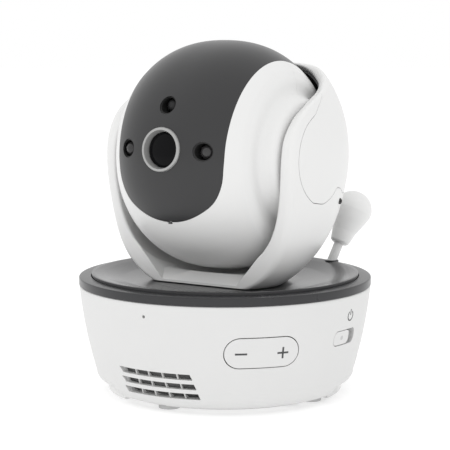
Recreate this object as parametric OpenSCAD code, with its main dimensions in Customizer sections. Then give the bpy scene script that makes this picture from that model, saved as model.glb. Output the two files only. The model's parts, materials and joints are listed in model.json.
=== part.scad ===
// Pan and tilt camera of a baby monitor: a ball head nods in a hooded yoke, which turns on a round base.
// Millimetres. The origin is on the floor at the middle of the base, -Y is the front and +Z is up.

/* [Base] */
// Radius of the base under its dark ring
base_r = 49.9; // [48:0.1:52]
// Height of the top edge of the white wall
wall_top = 37; // [36:0.5:38]
// Inward lean of the wall, per millimetre down
wall_lean = 0.09; // [0.06:0.01:0.12]
// Extra inward curve of the wall, per millimetre squared
wall_curve = 0.0035; // [0.003:0.0005:0.004]
// Wall thickness of the base
wall_t = 2.2; // [1.8:0.1:2.4]
// Height of the step above the narrow plinth
ledge_z = 5; // [4.5:0.5:5]
// Radius of the plinth
plinth_r = 40.1; // [39:0.1:40.2]
// Ends of the front apron that hides the step, as angles from the front
apron_from = -23; // [-30:1:-20]
apron_to = 104; // [95:1:110]
// Underside of the plinth above the floor
plinth_z = 1.2; // [1:0.1:1.5]

/* [Ring and plate] */
// Outer radius of the dark ring
ring_r = 50; // [49:0.1:52]
// Height of the flat top of the ring
ring_top = 39.7; // [39:0.1:40]
// Radius of the glossy plate inside the ring
plate_r = 45.7; // [44:0.1:46]
// Height of the rim of the plate
plate_top = 41; // [40.5:0.1:41.2]
// Height of the flat middle of the plate
plate_dish = 38.1; // [38:0.1:38.3]

/* [Grille] */
// Height of the middle of the top slot row
slot_z = 13.8; // [13:0.1:14.5]
// Distance between slot rows
slot_pitch = 3; // [2.8:0.1:3.2]
// Height of one slot
slot_h = 2; // [1.6:0.1:2.2]

/* [Controls] */
// Angle of the volume rocker from the front
rocker_angle = 47; // [44:1:50]
// Height of the middle of the volume rocker
rocker_z = 21.7; // [21:0.1:22]
// Length of the volume rocker
rocker_w = 24.4; // [22:0.1:25]
// Height of the volume rocker
rocker_h = 9.8; // [9:0.1:10]
// Angle of the power slider from the front
power_angle = 87.5; // [86:0.5:92]
// Height of the middle of the power slider
power_z = 23.2; // [23:0.1:24.5]
// Travel of the power slider
power_travel = 3.4; // [3:0.1:3.4]

/* [Yoke] */
// Height of the tilt axis
axis_z = 81; // [80.5:0.1:82]
// Half width of the hood
hood_a = 39.4; // [39:0.1:40]
// Radius of the hood about the tilt axis
hood_b = 42.6; // [42.4:0.1:43]
// Underside of the yoke
yoke_z = 38.4; // [38.3:0.1:38.6]

/* [Head] */
// Half width of the head
head_a = 33.6; // [33:0.1:33.6]
// Radius of the head about the tilt axis
head_b = 38.8; // [38:0.1:38.8]
// Half width of the dark face shield
shield_w = 20.5; // [19:0.5:21]
// Upward tilt of the head at rest
rest_tilt = 6.3; // [0:0.1:8]

/* [Lens] */
// Radius of the bright lens ring
lens_r = 7.6; // [7:0.1:8]
// Distance of each infrared lamp from the lens
lamp_x = 14.5; // [13.5:0.5:15]
// Height of the light sensor above the lens
light_z = 14.5; // [13:0.5:15]

/* [Drive] */
// Gear module
gear_m = 0.8; // [0.8]
// Teeth of the pan gear and of its pinion
pan_teeth = 48; // [48]
pan_pinion_teeth = 12; // [12]
// Teeth of the fixed tilt gear and of its pinion
tilt_teeth = 30; // [30]
tilt_pinion_teeth = 10; // [10]
// Angle of the pan motor from the front
motor_angle = 260; // [255:1:265]

/* [Temperature sensor] */
// Angle of the sensor stalk from the front
stalk_angle = 155; // [150:1:158]
// Outward lean of the stalk
stalk_lean = 27; // [24:1:30]
// Distance from the plate to the middle of the bulb
stalk_len = 18.7; // [17:0.1:20]

/* [Hidden] */

$fn = 72;
tiny = 0.05;
far = 70;
white = "#eceae8";
soft_white = "#f4f3f1";
dark = "#3f3e40";
black = "#161616";
board_green = "#1f5a3a";
steel = "#a9abad";

wall_low = 8;
ring_lip_r = 47.4;
plate_t = 2;
bush_r = 13;
spindle_r = 8;
spindle_low_r = 6.5;
spindle_bore = 5;
gear_z = 29;
gear_t = 4;
gear_backlash = 0.12;
pan_pinion_at = gear_m * (pan_teeth + pan_pinion_teeth) / 2;
tilt_pinion_at = gear_m * (tilt_teeth + tilt_pinion_teeth) / 2;
tilt_pinion_dir = 135;
tilt_gear_x = 21.5;
tilt_gear_t = 3;
motor_r = 10;
screw_at = 33.5;
screw_angles = [73, 135, 215, 328];
foot_at = 34;
foot_r = 3.6;
rocker_gap = 0.35;
rocker_pin_at = 42.3;
power_window = 12.6;
power_window_h = 5.2;
power_knob = 8.6;
power_knob_h = 4.6;
pair_at = 14;
pair_r = 3.4;
jack_z = 14.2;
jack_face = 42;
speaker_z = 20.4;
speaker_r = 13;
speaker_y = -39;
board_z = 8;
board_t = 1.6;
stalk_at = 45.5;
stalk_r = 1.65;
bulb_r = 7;
seam_r = 15.6;
seam_z = 68.3;
hood_n = 2.4;
hood_front = -17;
hood_screw = [12.5, 66.1];
hood_screw_x = 35.5;
inside_a = 35.4;
inside_b = 41.2;
inside_n = 2.5;
liner_t = 0.8;
stub_r = 5.5;
running = 0.05;
shield_t = 1.2;
shell_t = 2;
chin_z = -3.2;
lamp_hole_r = 3.15;
axis_clear = 0.02;

// Radius of the white wall at height z
function wall_r(z) = base_r - wall_lean * (wall_top - z) - wall_curve * pow(wall_top - z, 2);

// Outline of a squared ellipse for revolving about its a axis, as [radius, along] points
function round_outline(a, b, n, steps = 14) = [for (i = [-steps:steps]) let (t = 90 * i / steps)
    [b * pow(max(cos(t), 0), 2 / n), a * sign(i) * pow(abs(sin(t)), 2 / n)]];

// Radius of a squared ellipse at a distance along its axis
function round_at(a, b, n, radius) = a * pow(1 - pow(radius / b, n), 1 / n);

// Half angle of a gear tooth at one radius, for a pressure angle of 20 degrees
function inv(angle) = tan(angle) * 180 / PI - angle;
function tooth_half(teeth, r) = let (pitch = gear_m * teeth / 2, base = pitch * cos(20))
    90 / teeth - gear_backlash / pitch * 90 / PI + inv(20) - inv(acos(min(1, base / r)));

// Outline of a spur gear with its first tooth on +X
function gear_outline(teeth) = let (pitch = gear_m * teeth / 2, tip = pitch + 0.95 * gear_m,
    root = pitch - 1.2 * gear_m, base = max(root + 0.1, pitch * cos(20)),
    rise = [root, base, (base + tip) / 2, tip])
    [for (k = [0:teeth - 1]) for (side = [-1, 1]) for (j = [0:3])
        let (r = side < 0 ? rise[j] : rise[3 - j], a = 360 * k / teeth
            + side * tooth_half(teeth, max(r, base))) [r * cos(a), r * sin(a)]];

// Turns a shape drawn at the front to an angle round the base
module at_angle(angle) {
    rotate([0, 0, angle]) children();
}

// A body of revolution about the X axis through the middle of the head
module about_x(points) {
    translate([0, 0, axis_z]) rotate([0, 90, 0]) rotate_extrude() polygon(points);
}

// A solid with a side-view outline in Y and Z, across the whole width
module side_prism(half = far) {
    translate([-half, 0, 0]) rotate([90, 0, 90]) linear_extrude(2 * half) children();
}

// A solid with a front-view outline in X and Z, from y0 back to y1
module front_prism(y0, y1) {
    translate([0, y1, 0]) rotate([90, 0, 0]) linear_extrude(y1 - y0) children();
}

// A cylinder along Y from y0 to y1, at the given X and Z
module rod_y(r, y0, y1, x = 0, z = 0) {
    translate([x, y1, z]) rotate([90, 0, 0]) cylinder(r = r, h = y1 - y0);
}

// A cylinder along X from x0 to x1, through the tilt axis
module rod_x(r, x0, x1) {
    translate([x0, 0, axis_z]) rotate([0, 90, 0]) cylinder(r = r, h = x1 - x0);
}

// A flat pill, centred
module pill(w, h) {
    square([w - h, h], center = true);
    for (side = [-1, 1]) translate([side * (w - h) / 2, 0]) circle(d = h);
}

// A flat rectangle with round corners, centred
module round_rect(w, h, r) {
    square([w - 2 * r, h], center = true);
    square([w, h - 2 * r], center = true);
    for (x = [-1, 1]) for (y = [-1, 1]) translate([x * (w / 2 - r), y * (h / 2 - r)]) circle(r);
}

// Round bar round the base: a sector of a ring
module sector(r0, r1, z0, z1, from, to) {
    rotate([0, 0, from - 90]) rotate_extrude(angle = to - from)
        translate([r0, z0]) square([r1 - r0, z1 - z0]);
}

// Outside of the base wall, moved in or out by an offset
module wall_solid(grow = 0) {
    rotate_extrude() polygon(concat([[0, wall_top], [0, wall_low]],
        [for (i = [0:12]) let (z = wall_low + (wall_top - wall_low) * i / 12) [wall_r(z) + grow, z]]));
}

/* ---- base ---- */

module wall_profile() {
    low_r = wall_r(wall_low);
    lip_r = plinth_r + 0.2;
    polygon(concat([for (i = [0:12]) let (z = wall_low + (wall_top - wall_low) * i / 12)
            [wall_r(wall_top + wall_low - z), wall_top + wall_low - z]],
        [for (a = [30:30:90]) [lip_r + 1.7 + (low_r - lip_r - 1.7) * cos(a),
            wall_low - (wall_low - ledge_z) * sin(a)]],
        [[lip_r, ledge_z], [lip_r, ledge_z + 2]],
        [for (i = [0:12]) let (z = wall_low + 1 + (wall_top - wall_low - 1) * i / 12)
            [wall_r(z) - wall_t, z]]));
}

module apron_profile() {
    round_r = 3;
    foot = plinth_z + 0.1;
    low = foot + round_r;
    inner = plinth_r + 1;
    polygon(concat([[37.7, foot], [37.7, ledge_z + 0.6], [inner, ledge_z + 0.6], [inner, wall_low]],
        [for (i = [0:3]) let (z = wall_low + (low - wall_low) * i / 3) [wall_r(z), z]],
        [for (a = [22.5:22.5:90]) [wall_r(low) - round_r + round_r * cos(a), low - round_r * sin(a)]]));
}

module vent_slots() {
    for (row = [0:2]) {
        from = -17.5 + 0.7 * row;
        to = 19 + 1.5 * row;
        step = (to - from) / 5;
        z = slot_z - slot_pitch * row;
        for (k = [0:4]) sector(38, 52, z - slot_h / 2, z + slot_h / 2, from + k * step + 0.35,
            from + (k + 1) * step - 0.35);
    }
}

module base_housing() {
    boss_top = 30;
    color(white) difference() {
        union() {
            rotate_extrude() wall_profile();
            rotate([0, 0, apron_from - 90]) rotate_extrude(angle = apron_to - apron_from) apron_profile();
            for (a = screw_angles) at_angle(a) {
                translate([0, -screw_at, ledge_z + 2.2]) cylinder(r = 3, h = boss_top - ledge_z - 2.2);
                intersection() {
                    translate([-0.8, -46.5, wall_low + 1]) cube([1.6, 46.5 - screw_at, boss_top - wall_low - 1]);
                    wall_solid(-1);
                }
            }
        }
        for (a = screw_angles) at_angle(a) translate([0, -screw_at, 0]) cylinder(r = 1.35, h = 16);
        vent_slots();
        at_angle(rocker_angle) front_prism(-60, -40) translate([0, rocker_z])
            pill(rocker_w + 2 * rocker_gap, rocker_h + 2 * rocker_gap);
        at_angle(power_angle) front_prism(-60, -40) translate([0, power_z])
            round_rect(power_window, power_window_h, 2);
        rod_y(0.4, -60, -44, 0, 33);
        rod_y(4, 40, 60, 0, jack_z);
    }
}

module bottom_cover() {
    color(white) difference() {
        union() {
            translate([0, 0, plinth_z]) cylinder(r = plinth_r, h = 1.6);
            translate([0, 0, plinth_z]) difference() {
                cylinder(r = plinth_r, h = ledge_z + 1.8 - plinth_z);
                translate([0, 0, -1]) cylinder(r = plinth_r - 1.9, h = 9);
            }
            for (a = screw_angles) at_angle(a) translate([0, -screw_at, plinth_z])
                cylinder(r = 3.4, h = ledge_z + 2 - plinth_z);
            for (a = [50, 200, 290]) at_angle(a) translate([0, -28, plinth_z])
                cylinder(r = 2.2, h = board_z - plinth_z);
            for (side = [-1, 1]) translate([22 * side, 0, plinth_z]) keyhole(1.5, 5.4);
        }
        sector(37.5, 42, 0, 9, apron_from - 0.3, apron_to + 0.3);
        for (a = [0, 90, 180, 270]) at_angle(a) translate([0, -foot_at, 0])
            cylinder(r = foot_r + 0.05, h = plinth_z + 0.7);
        for (a = screw_angles) at_angle(a) translate([0, -screw_at, 0]) {
            cylinder(r = 2.6, h = 3.2);
            cylinder(r = 1.4, h = 9);
        }
        for (side = [-1, 1]) translate([22 * side, 0, 0]) keyhole(0, 5.4);
        translate([0, pair_at, 0]) cylinder(r = pair_r + 0.15, h = 5);
    }
}

// A wall-hanging keyhole: a round entry and a narrow slot towards the back
module keyhole(grow, height) {
    cylinder(r = 3.5 + grow, h = height);
    translate([0, 7, 0]) cylinder(r = 1.8 + grow, h = height);
    translate([-1.8 - grow, 0, 0]) cube([3.6 + 2 * grow, 7, height]);
}

module rubber_feet() {
    color(dark) for (a = [0, 90, 180, 270]) at_angle(a) translate([0, -foot_at, 0])
        cylinder(r = foot_r, h = plinth_z + 0.7);
}

module base_screws() {
    color(steel) for (a = screw_angles) at_angle(a) translate([0, -screw_at, 0]) {
        translate([0, 0, 1.7]) cylinder(r = 2.4, h = 1.5);
        translate([0, 0, 3]) cylinder(r = 1.3, h = 11);
    }
}

// Notch through ring and plate for the grommet of the sensor
module stalk_hole(r) {
    at_angle(stalk_angle) translate([0, -stalk_at, 30]) cylinder(r = r, h = 20);
}

module top_ring() {
    color(dark) difference() {
        rotate_extrude() polygon([[plate_r + 0.2, wall_top - 2], [ring_lip_r, wall_top - 2],
            [ring_lip_r, wall_top], [ring_r, wall_top], [ring_r, ring_top - 0.7],
            [ring_r - 0.7, ring_top], [plate_r + 0.2, ring_top]]);
        stalk_hole(2.6);
    }
}

module top_plate() {
    low = plate_dish - plate_t;
    color("#4a494b") difference() {
        rotate_extrude() polygon([[bush_r + 0.1, low], [plate_r, low], [plate_r, plate_top - 0.5],
            [plate_r - 0.5, plate_top], [plate_r - 2.5, plate_top - 0.1], [38, plate_top - 0.7],
            [28, plate_dish], [bush_r + 0.1, plate_dish]]);
        stalk_hole(2.6);
    }
}

module pan_bush() {
    low = plate_dish - plate_t;
    color("#e9e6da") rotate_extrude() polygon([[spindle_r + running, 34], [16, 34], [16, low - tiny],
        [bush_r, low - tiny], [bush_r, low + 0.8], [spindle_r + running, low + 0.8]]);
}

module speaker_frame() {
    color(black) difference() {
        rod_y(speaker_r, speaker_y, speaker_y + 6, 0, speaker_z);
        rod_y(speaker_r - 1.4, speaker_y - 1, speaker_y + 4.6, 0, speaker_z);
        rod_y(8.1, speaker_y, speaker_y + 7, 0, speaker_z);
    }
}

module speaker_cone() {
    color("#2a2a2c") translate([0, speaker_y + 4.5, speaker_z]) rotate([90, 0, 0])
        rotate_extrude() polygon([[0, 0], [7, 0], [speaker_r - 1.5, 3.6], [speaker_r - 1.5, 4], [6.6, 0.6],
        [3, 1.6], [0, 2]]);
}

module speaker_magnet() {
    color(steel) rod_y(8, speaker_y + 4.6, speaker_y + 11, 0, speaker_z);
}

module speaker_mesh() {
    from_z = 5.7;
    to_z = 16.5;
    color("#232325") rotate([0, 0, -110]) rotate_extrude(angle = 44) polygon(concat(
        [for (i = [0:6]) let (z = 9.2 + (to_z - 9.2) * i / 6) [wall_r(z) - wall_t - 0.1, z]],
        [for (i = [0:6]) let (z = to_z - (to_z - 9.2) * i / 6) [wall_r(z) - wall_t - 0.5, z]],
        [[39.6, 7.3], [39.6, from_z], [40, from_z], [40, 7.2]]));
}

module main_board() {
    color(board_green) difference() {
        intersection() {
            translate([0, 0, board_z]) cylinder(r = 38, h = board_t);
            translate([-40, -24, 0]) cube([80, 80, 20]);
        }
        for (a = screw_angles) at_angle(a) translate([0, -screw_at, 0]) cylinder(r = 3.5, h = 20);
    }
}

module board_chips() {
    top = board_z + board_t;
    color(black) {
        translate([-4, -10, top]) cube([11, 11, 1.4]);
        translate([12, -6, top]) cube([8, 6, 1.2]);
        translate([8, 6, top]) cube([10, 16, 2.4]);
    }
    color(steel) translate([8, -20, top]) cylinder(r = 3, h = 7);
    color(steel) translate([-10, 22, top]) cylinder(r = 3, h = 7);
}

module dc_jack() {
    top = board_z + board_t;
    color(black) difference() {
        translate([-4.6, jack_face - 11, top]) cube([9.2, 11, 9]);
        rod_y(3, jack_face - 9.5, jack_face + 1, 0, jack_z);
    }
    color(steel) rod_y(1, jack_face - 9.5, jack_face - 0.5, 0, jack_z);
}

module microphone() {
    color(steel) rod_y(3, -44, -41.5, 0, 32.6);
}

// Middle of the pan motor and its pinion
module at_pan_motor() {
    at_angle(motor_angle) translate([0, -pan_pinion_at, 0]) children();
}

module pan_motor() {
    color(steel) at_pan_motor() difference() {
        union() {
            translate([0, 0, 10]) cylinder(r = motor_r, h = 14);
            translate([0, 0, 24]) cylinder(r = 4, h = 2);
            translate([-14, -3, 23]) cube([28, 6, 1]);
        }
        translate([0, 0, 22]) cylinder(r = 1.55, h = 9);
    }
}

module button_board() {
    color(board_green) at_angle(rocker_angle) translate([-13, -40.5, 15]) cube([26, 1.2, 13.6]);
}

module volume_switches() {
    color(steel) at_angle(rocker_angle) for (side = [-1, 1]) translate([8.5 * side, 0, rocker_z]) {
        translate([-2.5, -43, -2.5]) cube([5, 2.5, 5]);
        rod_y(1.2, -44, -43);
    }
}

module rocker_bracket() {
    color(soft_white) at_angle(rocker_angle) difference() {
        for (z = [15.2, 26.8]) translate([-2.5, -43.6, z]) cube([5, 3.1, 1.5]);
        translate([0, -rocker_pin_at, 14]) cylinder(r = 1 + running, h = 16);
    }
}

module volume_rocker() {
    color(soft_white) at_angle(rocker_angle) {
        intersection() {
            front_prism(-52, -44.8) translate([0, rocker_z]) pill(rocker_w, rocker_h);
            difference() {
                wall_solid(0.4);
                wall_solid(-wall_t + 0.2);
            }
        }
        translate([-1, -46.3, rocker_z - 3.5]) cube([2, 4, 7]);
        translate([0, -rocker_pin_at, 15.4]) cylinder(r = 1, h = 12.7);
    }
}

module power_slider() {
    rest_x = -power_travel / 2;
    color(soft_white) at_angle(power_angle) {
        intersection() {
            front_prism(-52, -43.6) translate([rest_x, power_z]) round_rect(power_knob, power_knob_h, 1.6);
            wall_solid(0.5);
        }
        front_prism(-44, -43) translate([rest_x, power_z]) square([13.4, 7], center = true);
        front_prism(-43.2, -41.2) translate([rest_x, power_z]) square([1.6, 1.8], center = true);
    }
}

module power_switch() {
    color(steel) at_angle(power_angle) difference() {
        translate([-5.5, -42.8, power_z - 2.6]) cube([11, 4.3, 5.2]);
        translate([-3.3, -43, power_z - 1.1]) cube([6.6, 2.2, 2.2]);
    }
}

module pair_switch() {
    color(black) translate([0, pair_at, 0]) {
        translate([-3, -3, 5.7]) cube([6, 6, board_z - 5.7]);
        translate([0, 0, 5.2]) cylinder(r = 1.5, h = 0.6);
    }
}

module pair_button() {
    color("#9b9a9a") translate([0, pair_at, 0]) {
        translate([0, 0, plinth_z + 0.4]) cylinder(r = pair_r, h = 2.9);
        translate([0, 0, 2.9]) cylinder(r = pair_r + 1.1, h = 0.9);
    }
}

/* ---- temperature sensor ---- */

// Axis of the leaning stalk, with Z along the stalk
module on_stalk() {
    at_angle(stalk_angle) translate([0, -stalk_at, plate_top]) rotate([stalk_lean, 0, 0]) children();
}

module sensor_grommet() {
    color(dark) difference() {
        union() {
            at_angle(stalk_angle) translate([0, -stalk_at, wall_top + tiny]) cylinder(r = 2.5, h = plate_top - wall_top);
            difference() {
                at_angle(stalk_angle) translate([0, -stalk_at, ring_top + tiny])
                    cylinder(r = 3.8, h = 2.6);
                cylinder(r = plate_r + tiny, h = plate_top + tiny);
            }
        }
        on_stalk() translate([0, 0, -4]) cylinder(r = stalk_r + axis_clear, h = 20);
    }
}

module sensor_stalk() {
    color(white) on_stalk() translate([0, 0, -1.2]) cylinder(r = stalk_r, h = 10.7);
}

module sensor_bulb() {
    color(soft_white) on_stalk() difference() {
        rotate_extrude() polygon(concat([[0, 8.6], [3.9, 8.6], [4.4, 9.2], [4.7, 12.4]],
            [for (a = [-45:9:90]) [bulb_r * cos(a), stalk_len + bulb_r * sin(a)]]));
        translate([0, 0, 8]) cylinder(r = stalk_r + axis_clear, h = 1.6);
        translate([0, 0, stalk_len]) sphere(r = 2.1);
    }
}

module thermistor() {
    color(black) on_stalk() translate([0, 0, stalk_len]) sphere(r = 2);
}

/* ---- yoke ---- */

// Bowl under the hood: a squared round bottom, revolved about the pan axis
module bowl() {
    rim_z = 72;
    depth = 38;
    rotate_extrude() polygon(concat([[0, rim_z], [0, yoke_z]],
        [for (i = [0:14]) let (z = yoke_z + (rim_z - yoke_z) * i / 14)
            [(hood_a - 0.2) * pow(1 - pow((rim_z - z) / depth, 2.5), 0.4), z]]));
}

module hood_outside() {
    about_x(round_outline(hood_a, hood_b, hood_n));
    bowl();
}

module hood_middle() {
    about_x(round_outline(hood_a - 2.1, hood_b - 1.1, hood_n));
}

module hood_inside() {
    intersection() {
        about_x(round_outline(inside_a, inside_b, inside_n));
        translate([-far, -far, yoke_z + 1.4]) cube([2 * far, 2 * far, 2 * far]);
    }
}

// Side view of the hood: upright front rim, round corner and sloping top edge
module hood_window() {
    corner_r = 14;
    corner_z = 84;
    slope = 21.5;
    run = far - hood_front - corner_r;
    side_prism() polygon(concat([[far, yoke_z], [hood_front, yoke_z]],
        [for (a = [180:-12:90 + slope])
            [hood_front + corner_r * (1 + cos(a)), corner_z + corner_r * sin(a)]],
        [[far, corner_z + run * tan(slope) + corner_r / cos(slope)]]));
}

// Side view of the part of the hood that the back cover takes: a lobe round each pivot, a bump over
// each screw, and everything above the level seam behind them
module back_zone(gap) {
    lobe = seam_r - gap;
    bump = 4.4 + gap;
    side_prism() polygon(concat([[-2.5 + gap, 98], [-4.6 + gap, 96]],
        [for (a = [112:6:256]) [lobe * cos(a), axis_z + lobe * sin(a)]],
        [[4.5, 68.2 + gap]],
        [for (a = [140:-20:40]) [hood_screw[0] + bump * cos(a), hood_screw[1] + bump * sin(a)]],
        [[60, seam_z + gap], [60, 125], [13 + gap, 125], [10 + gap, 107.5]]));
}

// Inner layer of the arms, which stays with the front part
module arm_layer(grow) {
    intersection() {
        hood_middle();
        translate([-far, -far, 0]) cube([2 * far, far + 8 + grow, 3 * far]);
    }
}

module yoke_front() {
    color(white) difference() {
        hood_outside();
        hood_inside();
        difference() {
            back_zone(0);
            arm_layer(0);
        }
        difference() {
            translate([-far, -far, 0]) cube([2 * far, 2 * far, 3 * far]);
            hood_window();
        }
        translate([0, 0, yoke_z - 1]) cylinder(r = spindle_r + axis_clear, h = 4);
        rod_x(4 + axis_clear, -38, 38);
        for (side = [-1, 1]) translate([side * (hood_screw_x + 1.8), hood_screw[0], hood_screw[1]])
            rotate([0, 90, 0]) cylinder(r = 1.5, h = 5, center = true);
    }
}

module yoke_back_cover() {
    color(white) difference() {
        intersection() {
            hood_outside();
            hood_window();
            back_zone(0.08);
        }
        hood_inside();
        arm_layer(0.08);
        rod_x(4, -38, 38);
    }
}

module hood_liner() {
    color(black) difference() {
        intersection() {
            about_x(round_outline(inside_a - 0.1, inside_b - 0.1, inside_n));
            hood_window();
            side_prism() polygon([[9, seam_z], [9, 104], [60, 128], [60, seam_z]]);
        }
        about_x(round_outline(inside_a - liner_t, inside_b - liner_t, inside_n));
    }
}

module pan_spindle() {
    low = plate_dish - plate_t + 0.85;
    color("#d9d7d2") difference() {
        union() {
            translate([0, 0, 34]) cylinder(r = spindle_r, h = yoke_z + 1.4 - 34);
            translate([0, 0, low]) cylinder(r = 12, h = yoke_z - tiny - low);
            translate([0, 0, 27]) cylinder(r = spindle_low_r, h = 8);
        }
        translate([0, 0, 20]) cylinder(r = spindle_bore, h = 30);
    }
}

module spur_gear(teeth, thick, bore) {
    difference() {
        linear_extrude(thick) polygon(gear_outline(teeth));
        translate([0, 0, -1]) cylinder(r = bore, h = thick + 2);
    }
}

module pan_gear() {
    color("#e9e6da") translate([0, 0, gear_z]) rotate([0, 0, motor_angle - 90])
        spur_gear(pan_teeth, gear_t, spindle_low_r + axis_clear);
}

module spindle_clip() {
    color(steel) translate([0, 0, gear_z - 1.3]) difference() {
        cylinder(r = 8.6, h = 1.2);
        translate([0, 0, -1]) cylinder(r = spindle_low_r + axis_clear, h = 4);
    }
}

module pan_pinion() {
    color("#f0ede2") at_pan_motor() translate([0, 0, gear_z - 0.2])
        rotate([0, 0, 90 + 180 / pan_pinion_teeth])
        spur_gear(pan_pinion_teeth, gear_t + 0.4, 1.5 + axis_clear);
}

module pan_motor_shaft() {
    color(steel) at_pan_motor() translate([0, 0, 22.5]) cylinder(r = 1.5, h = 11);
}

module yoke_screws() {
    color(steel) for (side = [-1, 1]) translate([side * hood_screw_x, hood_screw[0], hood_screw[1]])
        rotate([0, 90, 0]) cylinder(r = 1.4, h = 1.3, center = true);
}

// Bush that carries the head, drawn for the right side
module pivot_stub(reach) {
    difference() {
        union() {
            rod_x(8, 33.6, 35.1);
            rod_x(stub_r, 28, 34);
            rod_x(4, reach, 29);
            rod_x(4, 34, 37.4);
        }
        rod_x(2.2, reach - 1, 39);
    }
}

module pivot_stub_right() {
    color("#d9d7d2") pivot_stub(tilt_gear_x);
}

module pivot_stub_left() {
    color("#d9d7d2") mirror([1, 0, 0]) pivot_stub(26);
}

// Turns a shape drawn about the level head to its rest tilt
module head_tilt() {
    translate([0, 0, axis_z]) rotate([-rest_tilt, 0, 0]) children();
}

module tilt_gear() {
    color("#e9e6da") head_tilt() rotate([tilt_pinion_dir, 0, 0]) rotate([90, 0, 90])
        translate([0, 0, tilt_gear_x]) spur_gear(tilt_teeth, tilt_gear_t, 4 + axis_clear);
}

/* ---- head, drawn level about its own middle inside head_tilt() ---- */

module ball(points) {
    rotate([0, 90, 0]) rotate_extrude() polygon(points);
}

// Squared ball with a dished ring and a raised boss at each pivot
module head_outside() {
    dish_r = 26;
    boss_r = 19.5;
    side = [for (a = [90:-10:0]) [head_b * pow(sin(a), 2 / 2.3), head_a * pow(cos(a), 2 / 2.3)]];
    half = concat([for (p = side) if (p[0] > dish_r) p],
        [[dish_r, round_at(head_a, head_b, 2.3, dish_r)], [24.6, 26.8], [22.2, 26.9], [20.4, 28.2],
            [boss_r, 30.4], [18.3, 31.4], [12, 32.6], [0, 33.2]]);
    ball(concat(half, [for (i = [len(half) - 1:-1:1]) [half[i][0], -half[i][1]]]));
}

module head_layer(depth) {
    ball(round_outline(head_a - depth, head_b - depth, 2.3));
}

// Region of the shield: a band over the head that ends in a round chin at the front
module shield_zone(gap) {
    w = shield_w - gap;
    translate([-w, -far, chin_z]) cube([2 * w, 2 * far, far]);
    front_prism(-far, 0) translate([0, chin_z]) circle(r = w);
    translate([-w, 0, -12]) cube([2 * w, far, 20]);
}

module face_holes(grow) {
    rod_y(lens_r + grow, -far, -20);
    for (side = [-1, 1]) rod_y(lamp_hole_r + grow, -far, -20, side * lamp_x, 0);
    rod_y(3 + grow, -far, -20, 0, light_z);
}

module head_shell() {
    difference() {
        head_outside();
        head_layer(shield_t + shell_t);
        difference() {
            shield_zone(0);
            head_layer(shield_t);
        }
        face_holes(0.1);
        rotate([0, 90, 0]) cylinder(r = stub_r + running, h = 2 * far, center = true);
    }
}

module head_front_shell() {
    color(white) head_tilt() difference() {
        head_shell();
        translate([-far, 0, -far]) cube(2 * far);
    }
}

module head_rear_shell() {
    color(white) head_tilt() difference() {
        head_shell();
        translate([-far, -2 * far + tiny, -far]) cube(2 * far);
    }
}

module face_shield() {
    color(dark) head_tilt() difference() {
        intersection() {
            head_layer(0);
            shield_zone(0.08);
        }
        head_layer(shield_t - tiny);
        face_holes(0);
    }
}

module lens_ring() {
    front = -head_b - 0.6;
    color(steel) head_tilt() rotate([90, 0, 0]) rotate_extrude()
        polygon([[5.9, 36.4], [lens_r - tiny, 36.4], [lens_r - tiny, -front - 0.5],
            [lens_r - 0.5, -front], [6.5, -front], [5.9, -front - 1]]);
}

module lens_barrel() {
    color(black) head_tilt() difference() {
        union() {
            rod_y(5.8, -37.6, -24);
            front_prism(-24, -19.1) square(15, center = true);
        }
        rod_y(4.6, -38, -35.6);
        rod_y(3, -36, -18);
    }
}

module lens_glass() {
    dome_r = 6;
    rim_y = 35.62;
    centre_y = 31;
    color("#20242c") head_tilt() rotate([90, 0, 0]) rotate_extrude() polygon(concat([[0, rim_y]],
        [for (a = [39.5:-3.95:0]) [dome_r * sin(a), max(rim_y, centre_y + dome_r * cos(a))]]));
}

module lamp_board() {
    color(board_green) head_tilt() difference() {
        intersection() {
            translate([-22, -28, -9]) cube([44, 1.4, 28]);
            head_layer(shield_t + shell_t + 0.6);
        }
        rod_y(6.2, -30, -20);
    }
}

module infrared_lamps() {
    color("#2b2226") head_tilt() for (side = [-1, 1]) {
        rod_y(2.5, -34.4, -28, side * lamp_x, 0);
        translate([side * lamp_x, -34.4, 0]) sphere(r = 2.5);
    }
}

module light_sensor() {
    color("#3a3034") head_tilt() {
        rod_y(2.8, -33.6, -28, 0, light_z);
        translate([0, -33.6, light_z]) scale(1.1) sphere(r = 2.4);
    }
}

module image_board() {
    color(board_green) head_tilt() translate([-11, -19, -11]) cube([22, 1.4, 22]);
}

module head_chassis() {
    color("#d9d7d2") head_tilt() difference() {
        intersection() {
            translate([19.1, 0, 0]) rotate([0, 90, 0]) cylinder(r = 27.5, h = 1.6);
            translate([0, -8, -far]) cube([far, far, 2 * far]);
        }
        rotate([0, 90, 0]) cylinder(r = 4.3, h = far);
        at_tilt_motor() rotate([0, 90, 0]) cylinder(r = 3.2, h = far);
    }
}

// Axis of the tilt motor and its pinion, along X
module at_tilt_motor() {
    rotate([tilt_pinion_dir, 0, 0]) translate([0, -tilt_pinion_at, 0]) children();
}

module tilt_motor() {
    color(steel) head_tilt() at_tilt_motor() rotate([0, 90, 0]) difference() {
        union() {
            translate([0, 0, 5]) cylinder(r = motor_r, h = 14);
            translate([0, 0, 19]) cylinder(r = 3, h = 1.6);
        }
        translate([0, 0, 17]) cylinder(r = 1.05, h = 9);
    }
}

module head_screws() {
    color(steel) head_tilt() for (x = [-12, 12]) translate([x, 0, -24]) rod_y(1.3, 1, 20);
}

module tilt_pinion() {
    color("#f0ede2") head_tilt() at_tilt_motor() rotate([90, 0, 90])
        translate([0, 0, tilt_gear_x - 0.2]) rotate([0, 0, 180 / tilt_pinion_teeth])
        spur_gear(tilt_pinion_teeth, tilt_gear_t + 0.4, 1 + axis_clear);
}

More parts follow.
